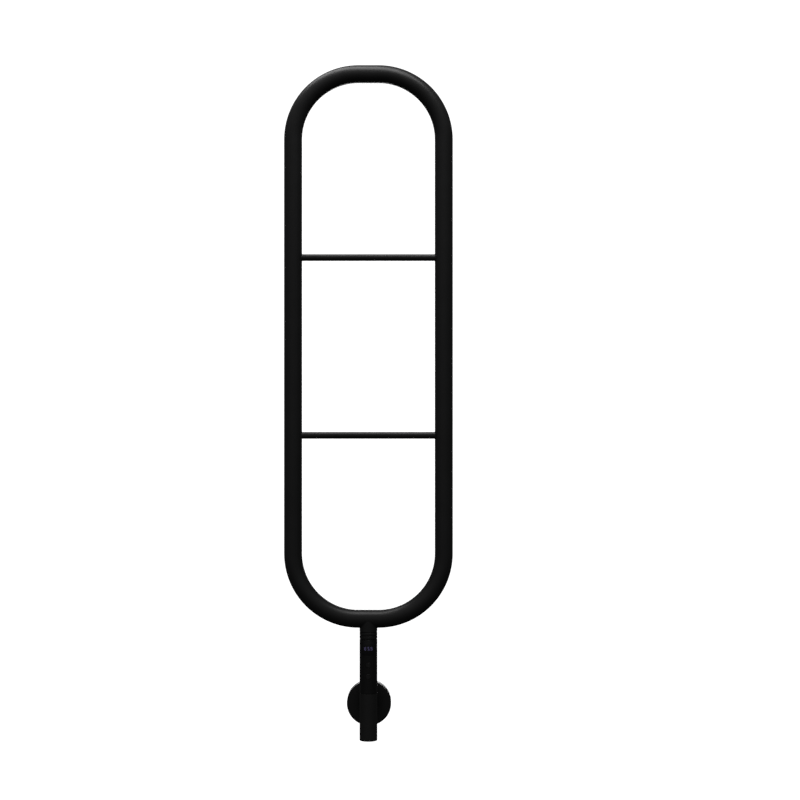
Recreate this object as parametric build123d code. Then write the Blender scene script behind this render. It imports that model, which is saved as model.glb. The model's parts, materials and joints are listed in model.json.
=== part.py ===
"""Electric towel warmer: a wall-hung loop of round tube with two thin rungs, heated from
inside by a cable, with its control head, wiring elbow and sliding wall rose below it.

Frame: +Z up, +X to the right as seen from the front, +Y towards the wall. The origin lies
on the wall plane, at the centre of the four bracket screws. All sizes are in millimetres.
"""

from build123d import *
import os

# ---------------------------------------------------------------- driving dimensions
LOOP_WIDTH = 300.0
LOOP_HEIGHT = 1000.0
TUBE_D = 32.0
TUBE_WALL = 1.5
CORNER_R = 116.0  # bend radius on the tube's centreline
BEND_TAIL = 28.0  # straight tail of each U bend, up to its weld
WALL_TO_TUBE = 80.0  # wall plane to the plane of the loop

RUNG_D = 12.0
RUNG_WALL = 1.2
RUNG_Z = 158.0  # both rungs, above and below the loop's middle

STEM_D = 31.5
STEM_WALL = 2.0
SEAM_CHAMFER = 0.3
FOOT_ROUNDING = 1.0
STEM_DROP = 200.0  # from the loop's underside to the foot of the stem

BRACKET_Z = 300.0  # bracket rows, above and below the loop's middle
ARM_ABOVE_FOOT = 56.6  # height of the wiring arm above the foot of the stem
SEAM_ABOVE_FOOT = 84.0  # height of the joint between control head and elbow

ROSE_D = 80.0
ROSE_DEPTH = 25.0

# ---------------------------------------------------------------- worked out from them
TUBE_R = TUBE_D / 2
TUBE_BORE_R = TUBE_R - TUBE_WALL
STEM_R = STEM_D / 2
STEM_BORE_R = STEM_R - STEM_WALL
HALF_W = LOOP_WIDTH / 2 - TUBE_R  # centreline half width of the loop
HALF_H = LOOP_HEIGHT / 2 - TUBE_R  # centreline half height of the loop
ARC_START = HALF_H - CORNER_R  # where the uprights turn into arcs
WELD_Z = ARC_START - BEND_TAIL
AXIS_Y = -WALL_TO_TUBE  # plane of the loop and axis of the stem
LOOP_FOOT = -LOOP_HEIGHT / 2
FOOT_Z = LOOP_FOOT - STEM_DROP
ARM_Z = FOOT_Z + ARM_ABOVE_FOOT
SEAM_Z = FOOT_Z + SEAM_ABOVE_FOOT

# joint between loop and head: three thin gaskets with two bevelled rings between them
GASKET_T = 0.8
RING_T = 5.3
STUB_END = LOOP_FOOT - 6.6
UNION_TOP = STUB_END - GASKET_T
LOCK_TOP = UNION_TOP - RING_T - GASKET_T
HEAD_TOP = LOCK_TOP - RING_T - GASKET_T
HEAD_END = SEAM_Z + GASKET_T / 2
ELBOW_TOP = SEAM_Z - GASKET_T / 2
RING_CHAMFER = 0.6
GASKET_R = STEM_R - 0.7
BRANCH_HOLE_R = 12.0  # opening in the loop above the stub
HEAD_ROOF = 2.0
NUT_T = 3.4
NUT_R = 12.3
NIPPLE_TOP = LOOP_FOOT - 0.2
NIPPLE_END = HEAD_TOP - HEAD_ROOF - NUT_T - 1.0
NIPPLE_R = 10.0
NIPPLE_BORE_R = 7.0

# set screws at the back of the stem, tips and ends measured from its axis
SET_R = 1.5
SET_TIP = 11.2
SET_END = STEM_R - 0.5
SET_SOCKET_R = 0.8
LOCK_SCREW_Z = LOCK_TOP - RING_T / 2

# window, display and buttons
WINDOW_W = 22.0
WINDOW_H = 26.0
WINDOW_TOP = HEAD_TOP - 2.0
WINDOW_CORNER = 3.0
DISPLAY_Z = LOOP_FOOT - 36.0
DIGIT_H = 5.8
DIGIT_W = 4.2
DIGIT_PITCH = 5.6
SEGMENT_T = 0.9
SEGMENT_GAP = 0.12
SEGMENT_PROUD = 0.2
MODULE_HALF_W = 9.0
MODULE_HALF_H = 5.5
MODULE_FRONT = -9.0  # from the stem's axis
SEGMENT_ENDS = {
    "a": ((0, 2), (1, 2)),
    "b": ((1, 2), (1, 1)),
    "c": ((1, 1), (1, 0)),
    "d": ((0, 0), (1, 0)),
    "e": ((0, 1), (0, 0)),
    "f": ((0, 2), (0, 1)),
    "g": ((0, 1), (1, 1)),
}
LIT = ("acdefg", "acdfg", "acdfg")  # reads 65.5
BUTTON_ZS = {"power": LOOP_FOOT - 64.4, "mode": LOOP_FOOT - 84.8}
BUTTON_R = 4.5
BUTTON_PROUD = 0.6
BUTTON_GAP = 0.3
BUTTON_RIM = 0.8  # rounding of the cap's face
BUTTON_BACK = -11.0  # back of the cap's skirt, where its flange starts
BUTTON_FLANGE = 1.1
PLUNGER_TIP = -8.3
PLUNGER_FOOT = -5.8
PLUNGER_R = 1.7
SWITCH_FRONT = -7.0
SWITCH_HALF = 3.0

# circuit board, measured from the stem's axis, front is minus
BOARD_FRONT = -3.5
BOARD_T = 1.6
BOARD_BACK = BOARD_FRONT + BOARD_T
BOARD_HALF_W = 11.5
BOARD_TOP = HEAD_TOP - 7.6
BOARD_END = SEAM_Z + 12.6
TRAY_SCREW_ZS = (BOARD_TOP - 12, BOARD_END + 4)
JOINT_SCREW_ZS = (SEAM_Z + 5, SEAM_Z - 7)
TERMINAL_TOP = BOARD_TOP - 3.5
MAINS_TOP = BOARD_END + 12.5
MAINS_SCREW_XS = (-4.8, 0, 4.8)
MAINS_SCREW_Z = MAINS_TOP - 5.0
MAINS_SCREW_FLOOR = 5.1

# foot plug, cable clamp and earth block in the elbow
CAP_BOTTOM = FOOT_Z + 0.6
CAP_T = 5.0
CAP_GROOVE_Z = CAP_BOTTOM + 1.8
CAP_GROOVE_H = 1.6
CAP_GROOVE_R = STEM_BORE_R - 1.5
CLAMP_Z = SEAM_Z - 17.0
CLAMP_HALF = 3.0
CLAMP_SCREW_X = 8.0
CLAMP_SCREW_TIP = -10.0
CLAMP_SCREW_R = 1.5
EARTH_Z = FOOT_Z + 22.0
EARTH_FACE = -9.0
EARTH_TAG_T = 0.8
EARTH_SCREW_R = 2.0
EARTH_SCREW_TIP = -12.5

# wiring arm, wall plate and rose
ARM_R = 11.0
ARM_BORE_R = 9.5
PLATE_R = 31.0
PLATE_T = 3.0
PLATE_SCREW_X = 22.0
PLATE_HOLE_R = 2.4
SPIGOT_R = 9.4
SPIGOT_LENGTH = 17.0
CABLE_R = 3.75
GROMMET_LENGTH = 6.0
ENTRY_R = 6.0  # bore through the wall plate
ROSE_WALL = 1.5
ROSE_EDGE_R = 1.2
ROSE_COLLAR_R = 15.0
ROSE_COLLAR_LENGTH = 6.0
ROSE_CLEARANCE = 0.35
GRIP_R = 13.2
GRIP_FRONT = -ROSE_DEPTH + 2.5
GRIP_BACK = GRIP_FRONT + 2.0
ARM_SCREW_Y = -7.0
ARM_SCREW_R = 2.0

# wall brackets
BOSS_R = 10.0
BOSS_BASE_T = 3.0
BOSS_SPIGOT_R = 7.5
BOSS_LENGTH = 26.0
BOSS_HOLE_R = 2.6
BOSS_HEAD_R = 5.0  # recess for the head of the wall screw
BOSS_FLOOR_Y = -6.0
BOSS_GROOVE_R = 6.5
SLEEVE_BORE_R = 7.65
BRACKET_SCREW_Y = -10.0
BRACKET_SCREW_R = 2.5

HEATER_R = 2.5
HEATER_X = 3.6  # each end of the heating cable, off the stem's axis
HEATER_END = LOOP_FOOT - 2.0
HEATER_TURN_R = 14.0
SPLICE_R = 3.0
SPLICE_END = HEATER_END - 12.0
SENSOR_Y = 4.6  # probe behind the heater ends, fuse in front of them
SENSOR_R = 2.0


# ---------------------------------------------------------------- helpers
def rod(start, end, radius):
    """Round bar between two points."""
    line = Vector(*end) - Vector(*start)
    return Solid.make_cylinder(radius, line.length, Plane(origin=start, z_dir=line))


def pipe(start, end, outer, inner):
    """Straight tube between two points."""
    return rod(start, end, outer) - rod(start, end, inner)


def block(x0, x1, y0, y1, z0, z1):
    """Box between two corners."""
    centre = ((x0 + x1) / 2, (y0 + y1) / 2, (z0 + z1) / 2)
    return Pos(*centre) * Box(abs(x1 - x0), abs(y1 - y0), abs(z1 - z0))


def stem(x, y, z):
    """Point given from the stem's own axis: x right, y towards the wall, z up."""
    return (x, AXIS_Y + y, z)


def stem_block(x0, x1, y0, y1, z0, z1):
    """Box placed from the stem's own axis."""
    return block(x0, x1, AXIS_Y + y0, AXIS_Y + y1, z0, z1)


def stem_ring(top, bottom, outer, inner):
    """Ring on the stem's axis."""
    return pipe(stem(0, 0, bottom), stem(0, 0, top), outer, inner)


def edges_at(shape, z, radius):
    """Round edges of a given radius at one height."""
    return [
        e
        for e in shape.edges().filter_by(GeomType.CIRCLE)
        if abs(e.center().Z - z) < 1e-3 and abs(e.radius - radius) < 1e-3
    ]


def bent_bar(points, radii, radius):
    """Round bar swept along straight runs joined by tangent arcs."""
    path = FilletPolyline(*points, radius=radii)
    start = Plane(origin=path @ 0, z_dir=path % 0)
    return sweep(start * Circle(radius), path=path)


def set_screw(tip, end, radius, socket_r):
    """Headless screw from its tip to its socket end."""
    way = (Vector(*end) - Vector(*tip)).normalized()
    socket_floor = Vector(*end) - way * radius * 0.75
    screw = rod(tip, end, radius)
    hexagon = Plane(origin=socket_floor, z_dir=way) * RegularPolygon(socket_r, 6)
    return screw - extrude(hexagon, radius)


def stem_set_screw(z, tip=SET_TIP):
    """Set screw in the back of the stem."""
    return set_screw(stem(0, tip, z), stem(0, SET_END, z), SET_R, SET_SOCKET_R)


def stem_set_hole(z):
    """Hole for a set screw, through the back wall of the stem."""
    return rod(stem(0, NIPPLE_R - 1, z), stem(0, STEM_R + 1, z), SET_R)


# ---------------------------------------------------------------- the heated loop
def bend_path(side):
    """Corner points of a U bend: side is 1 for the top one and -1 for the bottom one."""
    return [
        (-HALF_W, AXIS_Y, side * WELD_Z),
        (-HALF_W, AXIS_Y, side * HALF_H),
        (HALF_W, AXIS_Y, side * HALF_H),
        (HALF_W, AXIS_Y, side * WELD_Z),
    ]


def u_bend(side):
    points, radii = bend_path(side), [CORNER_R, CORNER_R]
    return bent_bar(points, radii, TUBE_R) - bent_bar(points, radii, TUBE_BORE_R)


def bottom_bend():
    branch_hole = rod(stem(0, 0, -HALF_H), stem(0, 0, LOOP_FOOT - TUBE_WALL), BRANCH_HOLE_R)
    return u_bend(-1) - branch_hole


def upright(side):
    x = side * HALF_W
    return pipe((x, AXIS_Y, -WELD_Z), (x, AXIS_Y, WELD_Z), TUBE_R, TUBE_BORE_R)


def rung(z):
    bar = pipe((-HALF_W, AXIS_Y, z), (HALF_W, AXIS_Y, z), RUNG_D / 2, RUNG_D / 2 - RUNG_WALL)
    for x in (-HALF_W, HALF_W):
        bar -= rod((x, AXIS_Y, z - TUBE_R), (x, AXIS_Y, z + TUBE_R), TUBE_R)
    return bar


def branch_stub():
    """Turned stub: saddle-cut on the loop, wide bore above, tapped for the nipple below."""
    stub = stem_ring(-HALF_H, STUB_END, STEM_R, NIPPLE_R)
    stub -= rod(stem(0, 0, -HALF_H), stem(0, 0, NIPPLE_TOP), BRANCH_HOLE_R)
    return stub - rod(stem(-TUBE_D, 0, -HALF_H), stem(TUBE_D, 0, -HALF_H), TUBE_R)


def heating_cable():
    points = [
        (-HEATER_X, AXIS_Y, HEATER_END),
        (-HEATER_X, AXIS_Y, -HALF_H),
        (-HALF_W, AXIS_Y, -HALF_H),
        (-HALF_W, AXIS_Y, HALF_H),
        (HALF_W, AXIS_Y, HALF_H),
        (HALF_W, AXIS_Y, -HALF_H),
        (HEATER_X, AXIS_Y, -HALF_H),
        (HEATER_X, AXIS_Y, HEATER_END),
    ]
    return bent_bar(points, [HEATER_TURN_R] + [CORNER_R] * 4 + [HEATER_TURN_R], HEATER_R)


# ---------------------------------------------------------------- joint under the loop
def bevelled_ring(top):
    ring = stem_ring(top, top - RING_T, STEM_R, NIPPLE_R)
    rims = edges_at(ring, top, STEM_R) + edges_at(ring, top - RING_T, STEM_R)
    return chamfer(rims, RING_CHAMFER)


def lock_ring():
    """Lower ring, tapped at the back for its locking screw."""
    return bevelled_ring(LOCK_TOP) - stem_set_hole(LOCK_SCREW_Z)


def isolating_gaskets():
    tops = (STUB_END, LOCK_TOP + GASKET_T, HEAD_TOP + GASKET_T)
    return [stem_ring(top, top - GASKET_T, GASKET_R, NIPPLE_R) for top in tops]


def hollow_nipple():
    return stem_ring(NIPPLE_TOP, NIPPLE_END, NIPPLE_R, NIPPLE_BORE_R)


def nipple_nut():
    """Slotted ring nut that pulls the head's roof up against the loop."""
    top, slot_depth, slot_half = HEAD_TOP - HEAD_ROOF, 1.1, 1.2
    nut = stem_ring(top, top - NUT_T, NUT_R, NIPPLE_R)
    slot = block(
        NUT_R - slot_depth, NUT_R + 1, -slot_half, slot_half, top - NUT_T, top - NUT_T / 2
    )
    for angle in (0, 90, 180, 270):
        nut -= Pos(0, AXIS_Y, 0) * (Rot(0, 0, angle) * slot)
    return nut


def splice_sleeves():
    return [
        rod(stem(x, 0, HEATER_END), stem(x, 0, SPLICE_END), SPLICE_R)
        for x in (-HEATER_X, HEATER_X)
    ]


def temperature_probe():
    tip = -HALF_H + 4
    probe = rod(stem(0, SENSOR_Y, SPLICE_END), stem(0, SENSOR_Y, tip), SENSOR_R)
    return fillet(edges_at(probe, tip, SENSOR_R), SENSOR_R * 0.6)


def thermal_fuse():
    return rod(stem(0, -SENSOR_Y, SPLICE_END), stem(0, -SENSOR_Y, HEATER_END), SENSOR_R)


# ---------------------------------------------------------------- control head
def window_prism(grow):
    """Rounded rectangle pushed through the front of the head, grown on every side."""
    sketch = RectangleRounded(
        WINDOW_W + 2 * grow, WINDOW_H + 2 * grow, WINDOW_CORNER + grow
    )
    centre = stem(0, 0, WINDOW_TOP - WINDOW_H / 2)
    return extrude(Plane(origin=centre, x_dir=(1, 0, 0), z_dir=(0, -1, 0)) * sketch, STEM_D)


def head_shell():
    shell = rod(stem(0, 0, HEAD_END), stem(0, 0, HEAD_TOP), STEM_R)
    shell = chamfer(edges_at(shell, HEAD_TOP, STEM_R), RING_CHAMFER)
    shell = chamfer(edges_at(shell, HEAD_END, STEM_R), SEAM_CHAMFER)
    shell -= rod(stem(0, 0, HEAD_END), stem(0, 0, HEAD_TOP - HEAD_ROOF), STEM_BORE_R)
    shell -= rod(stem(0, 0, HEAD_END), stem(0, 0, HEAD_TOP), NIPPLE_R)
    shell -= window_prism(0)
    for z in BUTTON_ZS.values():
        shell -= rod(stem(0, -STEM_R / 2, z), stem(0, -STEM_D, z), BUTTON_R + BUTTON_GAP)
    for z in TRAY_SCREW_ZS + JOINT_SCREW_ZS[:1]:
        shell -= stem_set_hole(z)
    return shell


def display_lens():
    """Curved window: flush with the head outside, with a bonding flange inside."""
    gap, flange_w, flange_t = 0.12, 0.9, 0.9
    pane = stem_ring(HEAD_TOP - HEAD_ROOF, HEAD_END, STEM_R, STEM_BORE_R) & window_prism(-gap)
    flange_top = HEAD_TOP - HEAD_ROOF - 0.1
    flange = stem_ring(flange_top, HEAD_END, STEM_BORE_R, STEM_BORE_R - flange_t)
    flange &= window_prism(flange_w)
    return pane + flange


def segment_bar(digit, name):
    """One bar of a seven-segment digit, standing just proud of the display's face."""
    inner_w, inner_h = DIGIT_W - SEGMENT_T, (DIGIT_H - SEGMENT_T) / 2
    left = (digit - 1) * DIGIT_PITCH - inner_w / 2
    ends = [
        (left + column * inner_w, DISPLAY_Z + (row - 1) * inner_h)
        for column, row in SEGMENT_ENDS[name]
    ]
    (x0, z0), (x1, z1) = sorted(ends)
    z0, z1 = min(z0, z1), max(z0, z1)
    half = SEGMENT_T / 2
    inset = half + SEGMENT_GAP
    if z0 == z1:
        x0, x1, z0, z1 = x0 + inset, x1 - inset, z0 - half, z1 + half
    else:
        x0, x1, z0, z1 = x0 - half, x1 + half, z0 + inset, z1 - inset
    return stem_block(x0, x1, MODULE_FRONT - SEGMENT_PROUD, MODULE_FRONT, z0, z1)


def decimal_point():
    x, z = DIGIT_PITCH / 2, DISPLAY_Z - DIGIT_H / 2 + SEGMENT_T / 2
    front = MODULE_FRONT - SEGMENT_PROUD
    return rod(stem(x, MODULE_FRONT, z), stem(x, front, z), SEGMENT_T / 2)


def lit_segments():
    bars = [segment_bar(digit, name) for digit, names in enumerate(LIT) for name in names]
    return bars + [decimal_point()]


def display_module():
    low, high = DISPLAY_Z - MODULE_HALF_H, DISPLAY_Z + MODULE_HALF_H
    body = stem_block(-MODULE_HALF_W, MODULE_HALF_W, MODULE_FRONT, BOARD_FRONT, low, high)
    return chamfer(body.edges().filter_by(Axis.Y), 0.4)


def control_board():
    board = stem_block(
        -BOARD_HALF_W, BOARD_HALF_W, BOARD_FRONT, BOARD_BACK, BOARD_END, BOARD_TOP
    )
    board = fillet(board.edges().filter_by(Axis.Y), 1.0)
    hole_x, hole_z, hole_r = 8.5, BOARD_END + 3, 1.1
    for x in (-hole_x, hole_x):
        board -= rod(stem(x, BOARD_FRONT - 1, hole_z), stem(x, 0, hole_z), hole_r)
    return board


def board_carrier():
    """Half-pipe tray with a slotted rail for each edge of the board."""
    tray_top, tray_end, front = BOARD_TOP - 1.5, BOARD_END - 0.5, BOARD_FRONT - 1.1
    outer = STEM_BORE_R - 0.15
    tray = stem_ring(tray_top, tray_end, outer, outer - 1.1)
    tray &= stem_block(-STEM_R, STEM_R, front, STEM_R, tray_end, tray_top)
    rail_x, rail_back = BOARD_HALF_W - 0.6, BOARD_BACK + 1.5
    for side in (-1, 1):
        rail = stem_block(side * rail_x, side * STEM_R, front, rail_back, tray_end, tray_top)
        rail &= rod(stem(0, 0, tray_end), stem(0, 0, tray_top), outer - 0.05)
        slot = stem_block(
            side * (rail_x - 0.4), side * BOARD_HALF_W, BOARD_FRONT, BOARD_BACK, tray_end, tray_top
        )
        tray += rail - slot
    pad_half, pad_front, pad_back = 3.0, 10.9, 12.9
    for z in TRAY_SCREW_ZS:
        tray += stem_block(-pad_half, pad_half, pad_front, pad_back, z - pad_half, z + pad_half)
        tray -= stem_set_hole(z)
    return tray


def head_set_screws():
    """Small set screws at the back: two for the tray, two for the joint and one lock."""
    screws = [stem_set_screw(z) for z in TRAY_SCREW_ZS + JOINT_SCREW_ZS]
    return screws + [stem_set_screw(LOCK_SCREW_Z, tip=NIPPLE_R)]


def microcontroller():
    """Square chip with a dot at its first pin."""
    z, half, height = BUTTON_ZS["power"] + 11, 3.5, 1.0
    chip = stem_block(-half, half, BOARD_FRONT - height, BOARD_FRONT, z - half, z + half)
    dot = half - 0.9
    return chip - rod(stem(-dot, -6, z + dot), stem(-dot, BOARD_FRONT - 0.8, z + dot), 0.4)


def heater_terminal():
    """Push-in terminal with a mouth for each heater lead."""
    half, height, back, mouth_r, mouth_y = 7.0, 8.5, 3.4, 1.2, 1.6
    body = stem_block(-half, half, BOARD_BACK, back, TERMINAL_TOP - height, TERMINAL_TOP)
    for x in (-HEATER_X, HEATER_X):
        low, high = TERMINAL_TOP - 6, TERMINAL_TOP - 2
        body -= rod(stem(x, mouth_y, low), stem(x, mouth_y, high), mouth_r)
    return body


def power_supply_module():
    top, height, half, back = BUTTON_ZS["power"] + 8.5, 22.0, 8.0, 8.4
    body = stem_block(-half, half, BOARD_BACK, back, top - height, top)
    return chamfer(body.edges().filter_by(Axis.Y), 0.5)


def relay():
    top, height, half, back = BUTTON_ZS["mode"] + 5.5, 6.5, 6.5, 8.8
    body = stem_block(-half, half, BOARD_BACK, back, top - height, top)
    return fillet(body.edges().filter_by(Axis.Y), 0.5)


def mains_terminal():
    """Three-way screw terminal: screws from behind, wire mouths from below."""
    half, back, well_r, mouth_r, mouth_y = 7.4, 8.1, 1.9, 1.5, 1.4
    body = stem_block(-half, half, BOARD_BACK, back, BOARD_END + 1, MAINS_TOP)
    for x in MAINS_SCREW_XS:
        well_floor = stem(x, MAINS_SCREW_FLOOR, MAINS_SCREW_Z)
        body -= rod(well_floor, stem(x, back + 0.1, MAINS_SCREW_Z), well_r)
        body -= rod(stem(x, mouth_y, BOARD_END), stem(x, mouth_y, MAINS_TOP - 2), mouth_r)
    return body


def mains_terminal_screws():
    """Slotted heads in the terminal's wells."""
    radius, back, slot_half, slot_depth = 1.8, 7.6, 0.3, 0.7
    screws = []
    for x in MAINS_SCREW_XS:
        z = MAINS_SCREW_Z
        screw = rod(stem(x, MAINS_SCREW_FLOOR, z), stem(x, back, z), radius)
        floor = back - slot_depth
        slot = stem_block(x - slot_half, x + slot_half, floor, back + 0.1, z - 2, z + 2)
        screws.append(screw - slot)
    return screws


def internal_leads():
    """Two heater leads and two thin probe leads, inside the nipple and the head."""
    heater_lead_r, probe_lead_r, probe_lead_x, turn_r = 1.3, 0.5, 0.9, 1.6
    leads = [
        rod(stem(x, 0, SPLICE_END), stem(x, 0, TERMINAL_TOP), heater_lead_r)
        for x in (-HEATER_X, HEATER_X)
    ]
    pad_z = BOARD_TOP - 15.5
    for x in (-probe_lead_x, probe_lead_x):
        points = [stem(x, SENSOR_Y, SPLICE_END), stem(x, SENSOR_Y, pad_z), stem(x, BOARD_BACK, pad_z)]
        leads.append(bent_bar(points, [turn_r], probe_lead_r))
    return leads


# ---------------------------------------------------------------- push buttons
def button_cap(z):
    """Round cap with a softened face, an inner flange and a short pusher."""
    face, flange_t, pusher_r = -(STEM_R + BUTTON_PROUD), 1.0, 1.5
    cap = rod(stem(0, BUTTON_BACK, z), stem(0, face, z), BUTTON_R)
    rim = [
        e
        for e in cap.edges().filter_by(GeomType.CIRCLE)
        if abs(e.center().Y - (AXIS_Y + face)) < 1e-3
    ]
    cap = fillet(rim, BUTTON_RIM)
    flange_front = stem(0, BUTTON_BACK - flange_t, z)
    cap += rod(flange_front, stem(0, BUTTON_BACK, z), BUTTON_R + BUTTON_FLANGE)
    return cap + rod(stem(0, PLUNGER_TIP, z), stem(0, BUTTON_BACK, z), pusher_r)


def switch_plunger(z):
    return rod(stem(0, PLUNGER_TIP, z), stem(0, PLUNGER_FOOT, z), PLUNGER_R)


def switch_cases():
    well_floor, well_r = -4.7, PLUNGER_R + 0.4
    cases = []
    for z in BUTTON_ZS.values():
        low, high = z - SWITCH_HALF, z + SWITCH_HALF
        case = stem_block(-SWITCH_HALF, SWITCH_HALF, SWITCH_FRONT, BOARD_FRONT, low, high)
        cases.append(case - rod(stem(0, well_floor, z), stem(0, SWITCH_FRONT - 1, z), well_r))
    return cases


# ---------------------------------------------------------------- wiring elbow
def seam_gasket():
    return stem_ring(HEAD_END, ELBOW_TOP, STEM_R - 0.6, STEM_BORE_R)


def joining_sleeve():
    """Inner sleeve that lines up head and elbow, with the screws' tapped holes."""
    above, below, wall = 11.5, 13.0, 1.5
    sleeve = stem_ring(SEAM_Z + above, SEAM_Z - below, STEM_BORE_R, STEM_BORE_R - wall)
    for z in JOINT_SCREW_ZS:
        sleeve -= stem_set_hole(z)
    return sleeve


def elbow_housing():
    """Casing open below for its plug and behind for the wiring arm."""
    body = rod(stem(0, 0, FOOT_Z), stem(0, 0, ELBOW_TOP), STEM_R)
    body = fillet(edges_at(body, FOOT_Z, STEM_R), FOOT_ROUNDING)
    body = chamfer(edges_at(body, ELBOW_TOP, STEM_R), SEAM_CHAMFER)
    body -= rod(stem(0, 0, FOOT_Z), stem(0, 0, ELBOW_TOP), STEM_BORE_R)
    body -= rod(stem(0, 0, ARM_Z), stem(0, STEM_R + 1, ARM_Z), ARM_BORE_R)
    return body - stem_set_hole(JOINT_SCREW_ZS[1])


def bottom_cap():
    """Plug with a groove for its seal and a coin slot."""
    slot_half_l, slot_half_w, slot_depth = 8.0, 1.0, 1.2
    cap = rod(stem(0, 0, CAP_BOTTOM), stem(0, 0, CAP_BOTTOM + CAP_T), STEM_BORE_R)
    cap -= stem_ring(CAP_GROOVE_Z + CAP_GROOVE_H, CAP_GROOVE_Z, STEM_R, CAP_GROOVE_R)
    slot_top = CAP_BOTTOM + slot_depth
    slot = stem_block(-slot_half_l, slot_half_l, -slot_half_w, slot_half_w, FOOT_Z, slot_top)
    return cap - slot


def cap_seal():
    return stem_ring(CAP_GROOVE_Z + CAP_GROOVE_H, CAP_GROOVE_Z, STEM_BORE_R, CAP_GROOVE_R)


def cable_clamp():
    """Bar fixed across the elbow's front wall and the strap that grips the cable."""
    low, high = CLAMP_Z - CLAMP_HALF, CLAMP_Z + CLAMP_HALF
    anchor_back, strap_front, strap_half, cable_y = -7.0, -2.4, 11.0, -4.6
    bore = rod(stem(0, 0, low), stem(0, 0, high), STEM_BORE_R)
    anchor = stem_block(-STEM_R, STEM_R, -STEM_R, anchor_back, low, high) & bore
    strap = stem_block(-strap_half, strap_half, strap_front, 0, low, high)
    cable = rod(stem(0, cable_y, low), stem(0, cable_y, high), CABLE_R)
    parts = [anchor - cable, strap - cable]
    for x in (-CLAMP_SCREW_X, CLAMP_SCREW_X):
        hole = rod(stem(x, CLAMP_SCREW_TIP, CLAMP_Z), stem(x, 1, CLAMP_Z), CLAMP_SCREW_R)
        parts = [part - hole for part in parts]
    return parts


def clamp_screws():
    """Slotted pan-head screws of the clamp."""
    head_r, head_t, slot_half, slot_depth = 2.8, 1.6, 0.4, 0.6
    screws = []
    for x in (-CLAMP_SCREW_X, CLAMP_SCREW_X):
        screw = rod(stem(x, CLAMP_SCREW_TIP, CLAMP_Z), stem(x, 0, CLAMP_Z), CLAMP_SCREW_R)
        screw += rod(stem(x, 0, CLAMP_Z), stem(x, head_t, CLAMP_Z), head_r)
        slot = stem_block(
            x - 2, x + 2, head_t - slot_depth, head_t + 0.1, CLAMP_Z - slot_half, CLAMP_Z + slot_half
        )
        screws.append(screw - slot)
    return screws


def earth_block():
    half_w, half_h = 12.0, 5.0
    low, high = EARTH_Z - half_h, EARTH_Z + half_h
    bore = rod(stem(0, 0, low), stem(0, 0, high), STEM_BORE_R)
    body = stem_block(-half_w, half_w, -STEM_R, EARTH_FACE, low, high) & bore
    return body - rod(stem(0, EARTH_SCREW_TIP, EARTH_Z), stem(0, 0, EARTH_Z), EARTH_SCREW_R)


def earth_tag():
    """Ring tag with its tongue upwards."""
    ring_r, tongue_half, tongue_l = 4.5, 1.6, 12.0
    front, back = EARTH_FACE, EARTH_FACE + EARTH_TAG_T
    tag = rod(stem(0, front, EARTH_Z), stem(0, back, EARTH_Z), ring_r)
    tag += stem_block(-tongue_half, tongue_half, front, back, EARTH_Z, EARTH_Z + tongue_l)
    return tag - rod(stem(0, front, EARTH_Z), stem(0, back, EARTH_Z), EARTH_SCREW_R)


def earth_screw():
    """Cross-slotted pan-head screw."""
    head_r, head_t, slot_l, slot_w, slot_depth = 3.6, 2.2, 4.4, 0.8, 1.0
    back = EARTH_FACE + EARTH_TAG_T
    screw = rod(stem(0, EARTH_SCREW_TIP, EARTH_Z), stem(0, back, EARTH_Z), EARTH_SCREW_R)
    screw += rod(stem(0, back, EARTH_Z), stem(0, back + head_t, EARTH_Z), head_r)
    slot = Box(slot_l, 2 * slot_depth, slot_w)
    for turn in (0, 90):
        screw -= Pos(*stem(0, back + head_t, EARTH_Z)) * (Rot(0, turn, 0) * slot)
    return screw


# ---------------------------------------------------------------- arm, wall plate, rose
def wall_arm():
    """Tube between elbow and wall plate, tapped below for its set screw."""
    back_y = -PLATE_T - 0.4
    arm = pipe((0, AXIS_Y, ARM_Z), (0, back_y, ARM_Z), ARM_R, ARM_BORE_R)
    arm -= rod(stem(0, 0, ARM_Z - STEM_D), stem(0, 0, ARM_Z + STEM_D), STEM_R)
    return arm - rod((0, ARM_SCREW_Y, ARM_Z), (0, ARM_SCREW_Y, ARM_Z - STEM_R), ARM_SCREW_R)


def wall_plate():
    """Round plate with two countersunk holes and the spigot that carries the arm."""
    sink_depth, groove_half, groove_depth = 1.6, 2.0, 0.8
    plate = rod((0, -PLATE_T, ARM_Z), (0, 0, ARM_Z), PLATE_R)
    plate += rod((0, -PLATE_T - SPIGOT_LENGTH, ARM_Z), (0, 0, ARM_Z), SPIGOT_R)
    plate -= rod((0, -STEM_D, ARM_Z), (0, 1, ARM_Z), ENTRY_R)
    front, back = ARM_SCREW_Y - groove_half, ARM_SCREW_Y + groove_half
    plate -= pipe((0, front, ARM_Z), (0, back, ARM_Z), SPIGOT_R + 1, SPIGOT_R - groove_depth)
    for x in (-PLATE_SCREW_X, PLATE_SCREW_X):
        plate -= rod((x, -PLATE_T, ARM_Z), (x, 0, ARM_Z), PLATE_HOLE_R)
        sink = Plane(origin=(x, -PLATE_T + sink_depth, ARM_Z), z_dir=(0, -1, 0))
        plate -= Solid.make_cone(PLATE_HOLE_R, PLATE_HOLE_R + sink_depth, sink_depth, sink)
    return plate


def cable_grommet():
    return pipe((0, -GROMMET_LENGTH, ARM_Z), (0, 0, ARM_Z), ENTRY_R, CABLE_R)


def arm_set_screw():
    tip = (0, ARM_SCREW_Y, ARM_Z - SPIGOT_R + 0.8)
    return set_screw(tip, (0, ARM_SCREW_Y, ARM_Z - ARM_R + 0.3), ARM_SCREW_R, 1.1)


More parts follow.
